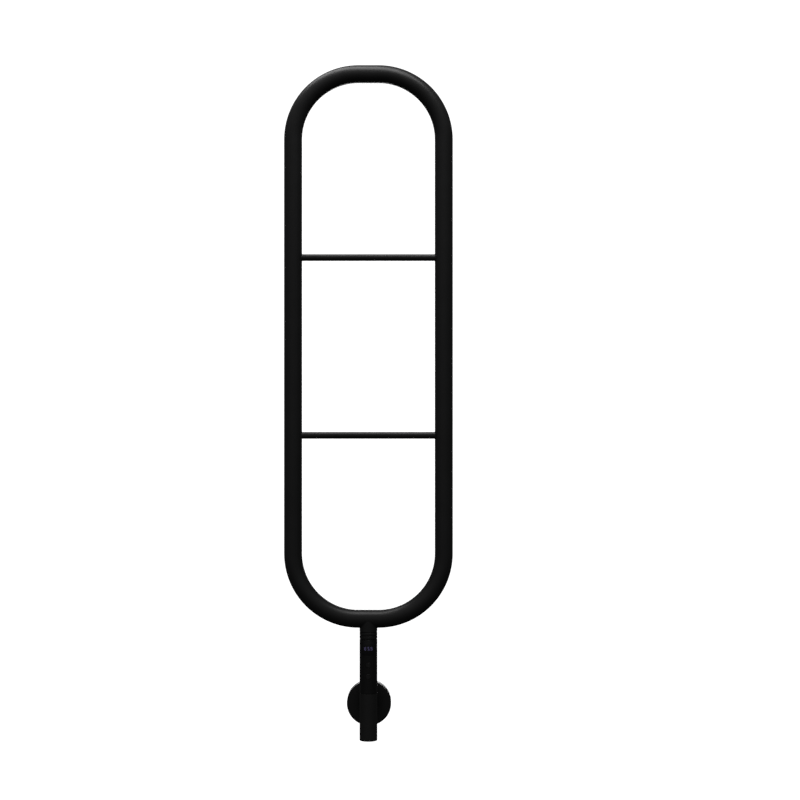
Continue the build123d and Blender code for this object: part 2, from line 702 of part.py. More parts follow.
def wall_rose():
    """Deep round cover with a collar that slides on the arm and a groove for its grip ring."""
    rose = rod((0, -ROSE_DEPTH, ARM_Z), (0, 0, ARM_Z), ROSE_D / 2)
    rim = [
        e for e in rose.edges().filter_by(GeomType.CIRCLE) if e.center().Y < -ROSE_DEPTH + 1e-3
    ]
    rose = fillet(rim, ROSE_EDGE_R)
    hollow = rod((0, -ROSE_DEPTH + ROSE_WALL, ARM_Z), (0, 0, ARM_Z), ROSE_D / 2 - ROSE_WALL)
    collar_back = -ROSE_DEPTH + ROSE_COLLAR_LENGTH
    collar = rod((0, -ROSE_DEPTH, ARM_Z), (0, collar_back, ARM_Z), ROSE_COLLAR_R)
    rose = (rose - hollow) + collar
    rose -= rod((0, -ROSE_DEPTH, ARM_Z), (0, 0, ARM_Z), ARM_R + ROSE_CLEARANCE)
    return rose - rod((0, GRIP_FRONT, ARM_Z), (0, GRIP_BACK, ARM_Z), GRIP_R)


def rose_grip_ring():
    return pipe((0, GRIP_FRONT, ARM_Z), (0, GRIP_BACK, ARM_Z), GRIP_R, ARM_R + 0.1)


# ---------------------------------------------------------------- wall brackets
BRACKETS = {
    "upper_left": (-HALF_W, BRACKET_Z),
    "upper_right": (HALF_W, BRACKET_Z),
    "lower_left": (-HALF_W, -BRACKET_Z),
    "lower_right": (HALF_W, -BRACKET_Z),
}


def wall_boss(x, z):
    """Spigot screwed to the wall, grooved for the set screw of its sleeve."""
    boss = rod((x, -BOSS_BASE_T, z), (x, 0, z), BOSS_R)
    boss += rod((x, -BOSS_LENGTH, z), (x, 0, z), BOSS_SPIGOT_R)
    boss -= rod((x, -BOSS_LENGTH, z), (x, 0, z), BOSS_HOLE_R)
    boss -= rod((x, -BOSS_LENGTH, z), (x, BOSS_FLOOR_Y, z), BOSS_HEAD_R)
    front, back = BRACKET_SCREW_Y - BRACKET_SCREW_R, BRACKET_SCREW_Y + BRACKET_SCREW_R
    return boss - pipe((x, front, z), (x, back, z), BOSS_R, BOSS_GROOVE_R)


def standoff_sleeve(x, z):
    """Sleeve welded behind an upright, which slides over its wall boss."""
    sleeve = pipe((x, AXIS_Y, z), (x, -BOSS_BASE_T - 0.2, z), BOSS_R, SLEEVE_BORE_R)
    sleeve -= rod((x, AXIS_Y, z - TUBE_R), (x, AXIS_Y, z + TUBE_R), TUBE_R)
    screw_hole = rod((x, BRACKET_SCREW_Y, z), (x, BRACKET_SCREW_Y, z - TUBE_R), BRACKET_SCREW_R)
    return sleeve - screw_hole


def bracket_set_screws():
    screws = []
    for x, z in BRACKETS.values():
        tip = (x, BRACKET_SCREW_Y, z - BOSS_GROOVE_R)
        end = (x, BRACKET_SCREW_Y, z - BOSS_R + 0.3)
        screws.append(set_screw(tip, end, BRACKET_SCREW_R, 1.4))
    return screws


# ---------------------------------------------------------------- the assembly
def assembly():
    """Every node by name; a node of several solids is a list."""
    nodes = {
        "top_bend_tube": u_bend(1),
        "bottom_bend_tube": bottom_bend(),
        "left_upright_tube": upright(-1),
        "right_upright_tube": upright(1),
        "upper_rung": rung(RUNG_Z),
        "lower_rung": rung(-RUNG_Z),
        "branch_stub": branch_stub(),
        "heating_cable": heating_cable(),
        "hollow_nipple": hollow_nipple(),
        "nipple_nut": nipple_nut(),
        "union_ring": bevelled_ring(UNION_TOP),
        "lock_ring": lock_ring(),
        "isolating_gaskets": isolating_gaskets(),
        "splice_sleeves": splice_sleeves(),
        "temperature_probe": temperature_probe(),
        "thermal_fuse": thermal_fuse(),
        "internal_leads": internal_leads(),
        "head_shell": head_shell(),
        "display_lens": display_lens(),
        "display_module": display_module(),
        "lit_segments": lit_segments(),
        "control_board": control_board(),
        "board_carrier": board_carrier(),
        "head_set_screws": head_set_screws(),
        "microcontroller": microcontroller(),
        "heater_terminal": heater_terminal(),
        "power_supply_module": power_supply_module(),
        "relay": relay(),
        "mains_terminal": mains_terminal(),
        "mains_terminal_screws": mains_terminal_screws(),
        "seam_gasket": seam_gasket(),
        "joining_sleeve": joining_sleeve(),
        "elbow_housing": elbow_housing(),
        "bottom_cap": bottom_cap(),
        "cap_seal": cap_seal(),
        "cable_clamp": cable_clamp(),
        "clamp_screws": clamp_screws(),
        "earth_block": earth_block(),
        "earth_tag": earth_tag(),
        "earth_screw": earth_screw(),
        "wall_arm": wall_arm(),
        "wall_plate": wall_plate(),
        "cable_grommet": cable_grommet(),
        "arm_set_screw": arm_set_screw(),
        "wall_rose": wall_rose(),
        "rose_grip_ring": rose_grip_ring(),
        "switch_cases": switch_cases(),
        "bracket_set_screws": bracket_set_screws(),
    }
    for name, z in BUTTON_ZS.items():
        nodes[name + "_button"] = button_cap(z)
        nodes[name + "_switch_plunger"] = switch_plunger(z)
    for place, (x, z) in BRACKETS.items():
        nodes["wall_boss_" + place] = wall_boss(x, z)
        nodes["standoff_sleeve_" + place] = standoff_sleeve(x, z)
    return nodes


def solids_of(shape):
    """The separate solids of a node."""
    if isinstance(shape, list):
        return [solid for piece in shape for solid in piece.solids()]
    return shape.solids()


os.makedirs("parts", exist_ok=True)
for node, shape in assembly().items():
    export_step(Compound(solids_of(shape), label=node), f"parts/{node}.step")
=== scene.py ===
"""Looks of a wall-hung electric towel warmer: a satin black loop of round tube with two thin
rungs, and under it a slim stem with a small display, two push buttons, a wiring elbow and a
round wall rose that slides on its arm.
"""

import json
from math import cos, pi, radians, sin, sqrt, tan

import bmesh
import bpy
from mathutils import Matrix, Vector


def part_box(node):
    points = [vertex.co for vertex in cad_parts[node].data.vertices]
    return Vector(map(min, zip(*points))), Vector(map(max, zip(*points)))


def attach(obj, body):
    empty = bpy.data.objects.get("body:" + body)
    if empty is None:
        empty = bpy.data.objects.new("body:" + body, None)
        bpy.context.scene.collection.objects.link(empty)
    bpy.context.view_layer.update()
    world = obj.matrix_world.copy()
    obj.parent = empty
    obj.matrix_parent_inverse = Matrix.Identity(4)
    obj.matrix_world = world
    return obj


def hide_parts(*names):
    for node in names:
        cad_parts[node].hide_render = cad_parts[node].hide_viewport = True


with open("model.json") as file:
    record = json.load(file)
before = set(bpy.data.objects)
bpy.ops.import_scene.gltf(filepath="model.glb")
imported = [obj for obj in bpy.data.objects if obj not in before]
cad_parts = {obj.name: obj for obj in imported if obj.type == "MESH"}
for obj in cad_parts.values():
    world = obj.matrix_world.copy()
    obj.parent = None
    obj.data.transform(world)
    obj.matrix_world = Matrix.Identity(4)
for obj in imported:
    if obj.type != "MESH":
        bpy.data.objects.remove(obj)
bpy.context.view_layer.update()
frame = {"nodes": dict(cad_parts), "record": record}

# ------------------------------------------------------------------ sizes, most from the frame
MM = 0.001
SAME_PLACE = 1e-6  # points closer than this are one


def low(node):
    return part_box(node)[0]


def high(node):
    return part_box(node)[1]


def middle(node):
    return (low(node) + high(node)) / 2


def size(node):
    return high(node) - low(node)


TUBE_R = size("right_upright_tube").x / 2
TUBE_WALL = 1.5 * MM
TUBE_X = middle("right_upright_tube").x
PLANE_Y = middle("right_upright_tube").y
LOOP_TOP = high("right_upright_tube").z + size("top_bend_tube").z
WELD_Z = high("right_upright_tube").z
BEND_R = 116 * MM
ARC_START = LOOP_TOP - TUBE_R - BEND_R
TUBE_SIDES = 96
BEND_STEPS = 28

RUNG_R = size("upper_rung").z / 2
STEM_R = size("elbow_housing").x / 2
WIRE_BORE_R = 10 * MM
FINE_WELD = 0.9 * MM
SLEEVE_WELD = 2.0 * MM
EDGE_BREAK = 0.5 * MM

HEAD_LOW, HEAD_TOP = low("head_shell").z, high("head_shell").z
ELBOW_LOW, ELBOW_TOP = low("elbow_housing").z, high("elbow_housing").z
SHELL_WALL = 2.0 * MM
RING_EDGE = 0.7 * MM
SEAM_EDGE = 0.3 * MM
CUT_EDGE = 0.22 * MM
FINE_EDGE = 0.15 * MM
IN_FRONT = 30 * MM  # where a cutter starts, clear of the stem
SEAM_Z = middle("seam_gasket").z
TRAY_SCREWS = (high("control_board").z - 12 * MM, low("control_board").z + 4 * MM)
JOINT_SCREWS = (SEAM_Z + 5 * MM, SEAM_Z - 7 * MM)
SET_SCREW_R = 1.5 * MM
FOOT_ROUNDING = 1.0 * MM

WINDOW_W = 22.0 * MM
WINDOW_H = 26.0 * MM
WINDOW_TOP = HEAD_TOP - 2.0 * MM
WINDOW_CORNER = 3.0 * MM
PANE_SINK = 0.12 * MM
PANE_GAP = 0.14 * MM
PANE_SPARE = 2 * MM

BUTTON_R = 4.5 * MM
BUTTON_HOLE_R = 4.8 * MM
BUTTON_DISH = 0.12 * MM
FLANGE_R = 5.6 * MM
FLANGE_FRONT = 4.35 * MM
FLANGE_THICKNESS = 1.0 * MM
BUTTON_BACK_R = 1.5 * MM
SYMBOL_R = 1.42 * MM
SYMBOL_RISE = 0.02 * MM
SYMBOL_DEPTH = 0.35 * MM

ARM_R = size("wall_arm").x / 2
ARM_WALL = 1.5 * MM
ARM_Z = middle("wall_rose").z
ARM_SCREW_R = 2.0 * MM
ROSE_R = size("wall_rose").x / 2
ROSE_DEPTH = size("wall_rose").y
ROSE_SKIN = 1.5 * MM
ROSE_ROUNDING = 1.2 * MM
ROSE_PLAY = 0.35 * MM
COLLAR_R = 15 * MM
COLLAR_LENGTH = 6 * MM

SLEEVE_R = size("standoff_sleeve_upper_left").x / 2
SLEEVE_LENGTH = high("standoff_sleeve_upper_left").y - PLANE_Y - TUBE_R
SLEEVE_RINGS = 12
SLEEVE_BORE_R = 7.65 * MM
SLEEVE_SCREW_R = 2.5 * MM


# ------------------------------------------------------------------ hand tools
def rest_hands():
    """Leaves edit mode and drops the selection."""
    if bpy.context.object and bpy.context.object.mode != "OBJECT":
        bpy.ops.object.mode_set(mode="OBJECT")
    bpy.ops.object.select_all(action="DESELECT")


def take(piece):
    """Makes one piece the selected and active one."""
    rest_hands()
    piece.select_set(True)
    bpy.context.view_layer.objects.active = piece


def settle(piece):
    """Puts the piece's place into its mesh, so that its object sits at the origin."""
    take(piece)
    bpy.ops.object.transform_apply(location=True, rotation=True, scale=True)


def begin_edit(piece):
    take(piece)
    bpy.ops.object.mode_set(mode="EDIT")


def end_edit():
    bpy.ops.object.mode_set(mode="OBJECT")


def pick(piece, test, kind="verts"):
    """In edit mode, selects just the vertices or edges that pass the test."""
    modes = {"verts": "VERT", "edges": "EDGE"}
    bpy.ops.mesh.select_mode(type=modes[kind])
    bpy.ops.mesh.select_all(action="DESELECT")
    sculpt = bmesh.from_edit_mesh(piece.data)
    for element in getattr(sculpt, kind):
        element.select_set(bool(test(element)))
    sculpt.select_flush_mode()
    bmesh.update_edit_mesh(piece.data)


def close_up():
    """Merges doubles and turns every face outwards, in edit mode."""
    bpy.ops.mesh.select_all(action="SELECT")
    bpy.ops.mesh.remove_doubles(threshold=SAME_PLACE)
    bpy.ops.mesh.normals_make_consistent(inside=False)


def press_on(piece, modifier):
    """Applies a modifier."""
    take(piece)
    bpy.ops.object.modifier_apply(modifier=modifier.name)


def carve(piece, cutter, how="DIFFERENCE"):
    """Cuts one piece with another, which is used up."""
    cut = piece.modifiers.new("carve", "BOOLEAN")
    cut.operation, cut.object, cut.solver = how, cutter, "EXACT"
    press_on(piece, cut)
    bpy.data.objects.remove(cutter)


def joined(piece, *others):
    """One object of several closed forms that lie side by side."""
    take(piece)
    for other in others:
        other.select_set(True)
    bpy.ops.object.join()
    return piece


def soft_edges(piece, width, sharpest=50):
    """Rounds every edge that turns by more than the given degrees."""
    bevel = piece.modifiers.new("soft edges", "BEVEL")
    bevel.width, bevel.segments, bevel.limit_method = width, 2, "ANGLE"
    bevel.angle_limit = radians(sharpest)
    press_on(piece, bevel)


def wall_of(piece, thickness):
    """Gives an open skin its wall, inwards."""
    wall = piece.modifiers.new("wall", "SOLIDIFY")
    wall.thickness, wall.offset, wall.use_even_offset = thickness, -1, True
    press_on(piece, wall)


def hand_in(piece, name, body, slot, *nodes, sharpest=35):
    """Names, finishes and attaches a piece, and hides the CAD nodes that it stands for."""
    piece.name = piece.data.name = name
    settle(piece)
    bpy.ops.object.shade_smooth_by_angle(angle=radians(sharpest))
    piece.data.materials.clear()
    piece.data.materials.append(finishes[slot])
    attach(piece, body)
    if nodes:
        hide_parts(*nodes)
    rest_hands()
    return piece


# ------------------------------------------------------------------ lathe work
def rounded(corners, steps=5):
    """Outline through (radius, height, fillet) corners, each fillet drawn as an arc."""
    line = []
    for i, (x, y, fillet) in enumerate(corners):
        here = Vector((x, y))
        before = Vector(corners[i - 1][:2]) - here
        after = Vector(corners[(i + 1) % len(corners)][:2]) - here
        if not fillet:
            line.append(here)
            continue
        half = before.angle(after) / 2
        run = fillet / tan(half)
        centre = here + (before.normalized() + after.normalized()).normalized() * fillet / sin(half)
        first = here + before.normalized() * run - centre
        turn = first.angle_signed(here + after.normalized() * run - centre)
        for step in range(steps + 1):
            swing = -turn * step / steps
            arm = Vector((first.x * cos(swing) - first.y * sin(swing),
                          first.x * sin(swing) + first.y * cos(swing)))
            line.append(centre + arm)
    return line


def stand(axis, centre, radius, height):
    """Place of an outline point: radius off the axis, height along it."""
    spot = Vector(centre)
    if axis == "Z":
        return spot + Vector((radius, 0, height))
    return spot + Vector((radius, height, 0))


def turned(corners, centre, axis="Z", steps=96, open_line=False):
    """Spins an outline round the axis through the centre: a piece straight off the lathe."""
    line = rounded(corners)
    rest_hands()
    bpy.ops.mesh.primitive_circle_add(vertices=len(line), radius=1, fill_type="NOTHING")
    piece = bpy.context.object
    begin_edit(piece)
    sculpt = bmesh.from_edit_mesh(piece.data)
    sculpt.verts.ensure_lookup_table()
    for vertex, (radius, height) in zip(sculpt.verts, line):
        vertex.co = stand(axis, centre, radius, height)
    if open_line:
        ends = {sculpt.verts[0], sculpt.verts[len(line) - 1]}
        sculpt.edges.remove(next(e for e in sculpt.edges if set(e.verts) == ends))
    bmesh.update_edit_mesh(piece.data)
    bpy.ops.mesh.select_all(action="SELECT")
    way = (0, 0, 1) if axis == "Z" else (0, 1, 0)
    bpy.ops.mesh.spin(steps=steps, angle=2 * pi, center=centre, axis=way)
    close_up()
    end_edit()
    return piece


def along(radius, start, end, gap=1.5 * MM):
    """Plain rings along a lathe wall, which keep its shading even beside a hole."""
    count = int(abs(end - start) / gap)
    return [(radius, start + (end - start) * i / count, 0) for i in range(1, count)]


def drill(start, end, radius, sides):
    """Round cutter between two points."""
    start, end = Vector(start), Vector(end)
    run = end - start
    rest_hands()
    bpy.ops.mesh.primitive_cylinder_add(
        vertices=sides, radius=radius, depth=run.length, location=(start + end) / 2,
        rotation=run.to_track_quat("Z", "Y").to_euler(),
    )
    settle(bpy.context.object)
    return bpy.context.object


def bar(corner_low, corner_high, round_edges=0.0, around="y", segments=6):
    """Block between two corners; the edges along one axis are rounded."""
    corner_low, corner_high = Vector(corner_low), Vector(corner_high)
    rest_hands()
    bpy.ops.mesh.primitive_cube_add(size=1, location=(corner_low + corner_high) / 2)
    piece = bpy.context.object
    piece.scale = corner_high - corner_low
    settle(piece)
    if round_edges:
        index = "xyz".index(around)
        begin_edit(piece)
        pick(piece, lambda e: abs((e.verts[1].co - e.verts[0].co)[index]) > SAME_PLACE, "edges")
        bpy.ops.mesh.bevel(offset=round_edges, segments=segments, affect="EDGES")
        close_up()
        end_edit()
    return piece


# ------------------------------------------------------------------ the loop of tube
def open_ring(sides, radius, place, turn=(0, 0, 0)):
    """Empty ring of points, ready to be drawn out."""
    rest_hands()
    bpy.ops.mesh.primitive_circle_add(
        vertices=sides, radius=radius, fill_type="NOTHING", location=place, rotation=turn
    )
    settle(bpy.context.object)
    return bpy.context.object


def draw_out(way):
    """In edit mode, extrudes what is selected."""
    bpy.ops.mesh.extrude_region_move(TRANSFORM_OT_translate={"value": way})


def place_points(piece, spot_of):
    """In edit mode, moves each selected point to where the rule puts it."""
    sculpt = bmesh.from_edit_mesh(piece.data)
    for vertex in (v for v in sculpt.verts if v.select):
        vertex.co = spot_of(vertex.co)
    bmesh.update_edit_mesh(piece.data)


def u_bend(side):
    """Bent tube: a tail, an arc, a short straight, the other arc and its tail."""
    tube = open_ring(TUBE_SIDES, TUBE_R, (-TUBE_X, PLANE_Y, side * WELD_Z))
    tail = side * (ARC_START - WELD_Z)
    begin_edit(tube)
    bpy.ops.mesh.select_all(action="SELECT")
    draw_out((0, 0, tail))
    for centre_x in (-TUBE_X + BEND_R, TUBE_X - BEND_R):
        bpy.ops.mesh.spin(
            steps=BEND_STEPS, angle=-side * pi / 2, center=(centre_x, PLANE_Y, side * ARC_START),
            axis=(0, 1, 0),
        )
        if centre_x < 0:
            draw_out((2 * (TUBE_X - BEND_R), 0, 0))
    draw_out((0, 0, -tail))
    close_up()
    end_edit()
    wall_of(tube, TUBE_WALL)
    return tube


def upright(x):
    """Straight tube between the two bends."""
    tube = open_ring(TUBE_SIDES, TUBE_R, (x, PLANE_Y, -WELD_Z))
    begin_edit(tube)
    bpy.ops.mesh.select_all(action="SELECT")
    draw_out((0, 0, 2 * WELD_Z))
    close_up()
    end_edit()
    wall_of(tube, TUBE_WALL)
    return tube


def saddle_gap(offset, host_r):
    """How far a host tube's surface lies from its own axis, at an offset across it."""
    return sqrt(max(host_r**2 - offset**2, 0))


def weld_rings(leg, steps=5):
    """Ring by ring: how far a concave weld lies from the host, and how much it widens.

    Two plain rings lead up to the weld, and the last ring is sunk into the host.
    """
    rings = [(1.8 * leg, 0.0), (1.3 * leg, 0.0)]
    for step in range(steps + 1):
        turn = pi / 2 * step / steps
        rings.append((leg * (1 - sin(turn)), leg * (1 - cos(turn))))
    return rings + [(-0.25 * leg, leg)]


def rung(z):
    """Thin bar between the uprights, flared into its weld at both ends."""
    piece = open_ring(48, RUNG_R, (0, PLANE_Y, z), (0, pi / 2, 0))
    for side in (-1, 1):
        begin_edit(piece)
        pick(piece, lambda v: abs(v.co.x) < SAME_PLACE and len(v.link_edges) < 4)
        for gap, growth in weld_rings(FINE_WELD):

            def on_upright(point):
                arm = Vector((point.y - PLANE_Y, point.z - z)).normalized() * (RUNG_R + growth)
                reach = TUBE_X - saddle_gap(arm.x, TUBE_R) - gap
                return Vector((side * reach, PLANE_Y + arm.x, z + arm.y))

            draw_out((0, 0, 0))
            place_points(piece, on_upright)
        bpy.ops.mesh.edge_face_add()
        end_edit()
    begin_edit(piece)
    close_up()
    end_edit()
    return piece


def branch_stub():
    """Short stub under the loop: saddle-shaped top with its weld, open bore below.

    Its weld is widest at the sides and runs out in front and behind, where stub and tube are
    almost equally deep.
    """
    foot, axis_z = low("branch_stub").z, -(LOOP_TOP - TUBE_R)
    least_gap = 0.12
    piece = open_ring(96, STEM_R, (0, PLANE_Y, foot + EDGE_BREAK))
    begin_edit(piece)
    bpy.ops.mesh.select_all(action="SELECT")
    for gap, growth in weld_rings(FINE_WELD):

        def under_loop(point):
            arm = Vector((point.x, point.y - PLANE_Y)).normalized()
            room = abs(arm.x) ** 1.5
            arm *= STEM_R + growth * room
            drop = saddle_gap(arm.y, TUBE_R) + gap * max(room, least_gap)
            return Vector((arm.x, PLANE_Y + arm.y, axis_z - drop))

        draw_out((0, 0, 0))
        place_points(piece, under_loop)
    bpy.ops.mesh.edge_face_add()
    pick(piece, lambda v: v.co.z < foot + 1.2 * EDGE_BREAK)
    draw_out((0, 0, -EDGE_BREAK))
    shrink = (STEM_R - EDGE_BREAK) / STEM_R
    bpy.ops.transform.resize(value=(shrink, shrink, 1), center_override=(0, PLANE_Y, foot))
    bpy.ops.mesh.edge_face_add()
    close_up()
    end_edit()
    bore_top = -LOOP_TOP - 0.2 * MM
    carve(piece, drill((0, PLANE_Y, foot - MM), (0, PLANE_Y, bore_top), WIRE_BORE_R, 64))
    return piece


# ------------------------------------------------------------------ control stem
def set_screw_hole(casing, z):
    """Hole through the back wall, which shows the small set screw inside."""
    inner_end, outer_end = PLANE_Y + 9.5 * MM, PLANE_Y + 20 * MM
    carve(casing, drill((0, inner_end, z), (0, outer_end, z), SET_SCREW_R, 32))


def bevelled_ring(node):
    """Union ring or lock ring: both rims bevelled, a bore for the wires."""
    bottom, top = low(node).z, high(node).z
    tall = top - bottom
    corners = [
        (WIRE_BORE_R, 0, 0), (STEM_R, 0, RING_EDGE), (STEM_R, tall, RING_EDGE),
        (WIRE_BORE_R, tall, 0),
    ]
    ring = turned(corners, (0, PLANE_Y, bottom))
    if node == "lock_ring":
        set_screw_hole(ring, (bottom + top) / 2)
    return ring


def window_cutter(grow):
    """Rounded block that cuts the display window, or trims its pane when it is a little smaller."""
    half = WINDOW_W / 2 + grow
    return bar(
        (-half, PLANE_Y - IN_FRONT, WINDOW_TOP - WINDOW_H - grow),
        (half, PLANE_Y - 2 * MM, WINDOW_TOP + grow),
        WINDOW_CORNER + grow, segments=8,
    )


def head_shell():
    """Casing of the control head, with its window, button holes and screw holes."""
    tall = HEAD_TOP - HEAD_LOW
    inside = STEM_R - SHELL_WALL
    ceiling = tall - SHELL_WALL
    corners = [
        (STEM_R, 0, SEAM_EDGE), *along(STEM_R, 0, tall), (STEM_R, tall, RING_EDGE),
        (WIRE_BORE_R, tall, 0), (WIRE_BORE_R, ceiling, 0), (inside, ceiling, 0.3 * MM),
        (inside, 0, 0),
    ]
    shell = turned(corners, (0, PLANE_Y, HEAD_LOW), steps=128)
    carve(shell, window_cutter(0))
    for node in ("power_button", "mode_button"):
        z = middle(node).z
        start, end = (0, PLANE_Y - IN_FRONT, z), (0, PLANE_Y - 8 * MM, z)
        carve(shell, drill(start, end, BUTTON_HOLE_R, 64))
    for z in (*TRAY_SCREWS, JOINT_SCREWS[0]):
        set_screw_hole(shell, z)
    soft_edges(shell, CUT_EDGE)
    return shell


def window_pane():
    """Curved smoked pane, a hair below the casing's skin, with softened edges."""
    outer, inner = STEM_R - PANE_SINK, STEM_R - SHELL_WALL
    tall = WINDOW_H + 2 * PANE_SPARE
    corners = [(inner, 0, 0), (outer, 0, 0), (outer, tall, 0), (inner, tall, 0)]
    pane = turned(corners, (0, PLANE_Y, WINDOW_TOP - WINDOW_H - PANE_SPARE), steps=160)
    carve(pane, window_cutter(-PANE_GAP), "INTERSECT")
    soft_edges(pane, FINE_EDGE)
    return pane


def button_cap(node):
    """Round push button: a dished face, a soft rim and a flange behind the casing."""
    face, back = low(node).y, high(node).y
    flange_front = face + FLANGE_FRONT
    flange_back = flange_front + FLANGE_THICKNESS
    dish_r, crest_r = 2.6 * MM, 3.6 * MM
    corners = [
        (0, face + BUTTON_DISH, 0), (dish_r, face + BUTTON_DISH, 1.0 * MM), (crest_r, face, 0.3 * MM),
        (BUTTON_R, face + 0.15 * MM, 0.6 * MM), (BUTTON_R, flange_front, 0),
        (FLANGE_R, flange_front, 0.2 * MM), (FLANGE_R, flange_back, 0.2 * MM),
        (BUTTON_BACK_R, flange_back, 0), (BUTTON_BACK_R, back, 0), (0, back, 0),
    ]
    return turned(corners, (0, 0, middle(node).z), axis="Y", steps=72, open_line=True)


def symbol_ring(node, inner):
    """Thin ring raised on a button's face; its front and back are given for the strokes."""
    front, back = low(node).y - SYMBOL_RISE, low(node).y + SYMBOL_DEPTH
    rounding = 0.05 * MM
    corners = [
        (inner, front, rounding), (SYMBOL_R, front, rounding), (SYMBOL_R, back, 0), (inner, back, 0),
    ]
    return turned(corners, (0, 0, middle(node).z), axis="Y", steps=48), front, back


def power_symbol():
    """Broken ring and a short bar, raised a little on the upper button."""
    z = middle("power_button").z
    gap, half = 0.5 * MM, 0.18 * MM
    ring, front, back = symbol_ring("power_button", 1.05 * MM)
    carve(ring, bar((-gap, front - MM, z + 0.4 * MM), (gap, back + MM, z + 3 * MM)))
    stroke = bar((-half, front, z + 0.1 * MM), (half, back, z + 1.7 * MM), 0.1 * MM)
    return joined(ring, stroke)


def mode_symbol():
    """Clock face: a thin ring and two hands, raised a little on the lower button."""
    z, half, reach = middle("mode_button").z, 0.14 * MM, 0.85 * MM
    rounding = 0.06 * MM
    ring, front, back = symbol_ring("mode_button", 1.12 * MM)
    long_hand = bar((-half, front, z + half * 1.6), (half, back, z + reach), rounding)
    short_hand = bar((-half, front, z - half), (0.75 * MM, back, z + half), rounding)
    return joined(ring, long_hand, short_hand)


def elbow_housing():
    """Lower casing with its rounded foot, open below for the cap and behind for the arm."""
    tall = ELBOW_TOP - ELBOW_LOW
    inside = STEM_R - SHELL_WALL
    corners = [
        (inside, 0, 0.3 * MM), (STEM_R, 0, FOOT_ROUNDING), *along(STEM_R, 0, tall),
        (STEM_R, tall, SEAM_EDGE), (inside, tall, 0),
    ]
    casing = turned(corners, (0, PLANE_Y, ELBOW_LOW), steps=128)
    behind = PLANE_Y + 30 * MM
    carve(casing, drill((0, PLANE_Y, ARM_Z), (0, behind, ARM_Z), ARM_R - ARM_WALL, 64))
    set_screw_hole(casing, JOINT_SCREWS[1])
    soft_edges(casing, CUT_EDGE)
    return casing


def bottom_cap():
    """Plug in the foot of the elbow, with a coin slot."""
    bottom, top = low("bottom_cap").z, high("bottom_cap").z
    radius, tall = STEM_R - SHELL_WALL - 0.05 * MM, top - bottom
    corners = [(0, 0, 0), (radius, 0, 0.5 * MM), (radius, tall, 0.2 * MM), (0, tall, 0)]
    cap = turned(corners, (0, PLANE_Y, bottom), open_line=True)
    half_length, half_width, depth = 8 * MM, 1 * MM, 1.2 * MM
    slot = bar(
        (-half_length, PLANE_Y - half_width, bottom - MM),
        (half_length, PLANE_Y + half_width, bottom + depth),
        0.9 * MM, around="z",
    )
    carve(cap, slot)
    soft_edges(cap, FINE_EDGE)
    return cap


def wall_arm():
    """Tube from the elbow to the wall: its front end is cut to the elbow's round."""
    front, back = PLANE_Y + 9 * MM, high("wall_arm").y
    inner = ARM_R - ARM_WALL
    corners = [
        (inner, front, 0), (ARM_R, front, 0), *along(ARM_R, front, back), (ARM_R, back, 0.3 * MM),
        (inner, back, 0),
    ]
    arm = turned(corners, (0, 0, ARM_Z), axis="Y")
    below, above = ARM_Z - 20 * MM, ARM_Z + 20 * MM
    carve(arm, drill((0, PLANE_Y, below), (0, PLANE_Y, above), STEM_R - 0.05 * MM, 256))
    screw_y = middle("arm_set_screw").y
    carve(arm, drill((0, screw_y, ARM_Z), (0, screw_y, below), ARM_SCREW_R, 32))
    return arm


def wall_rose():
    """Deep round cover with a soft rim and a collar grooved for its grip ring."""
    front, bore = -ROSE_DEPTH, ARM_R + ROSE_PLAY
    groove_front, groove_back = low("rose_grip_ring").y, high("rose_grip_ring").y
    groove_r = size("rose_grip_ring").x / 2
    collar_back = front + COLLAR_LENGTH
    inner_front, inner_r = front + ROSE_SKIN, ROSE_R - ROSE_SKIN
    wide, fine = 0.5 * MM, 0.3 * MM
    corners = [
        (bore, front, wide), (ROSE_R, front, ROSE_ROUNDING), (ROSE_R, 0, fine), (inner_r, 0, 0),
        (inner_r, inner_front, wide), (COLLAR_R, inner_front, wide), (COLLAR_R, collar_back, fine),
        (bore, collar_back, fine), (bore, groove_back, 0), (groove_r, groove_back, 0),
        (groove_r, groove_front, 0), (bore, groove_front, 0),
    ]
    return turned(corners, (0, 0, ARM_Z), axis="Y", steps=160)


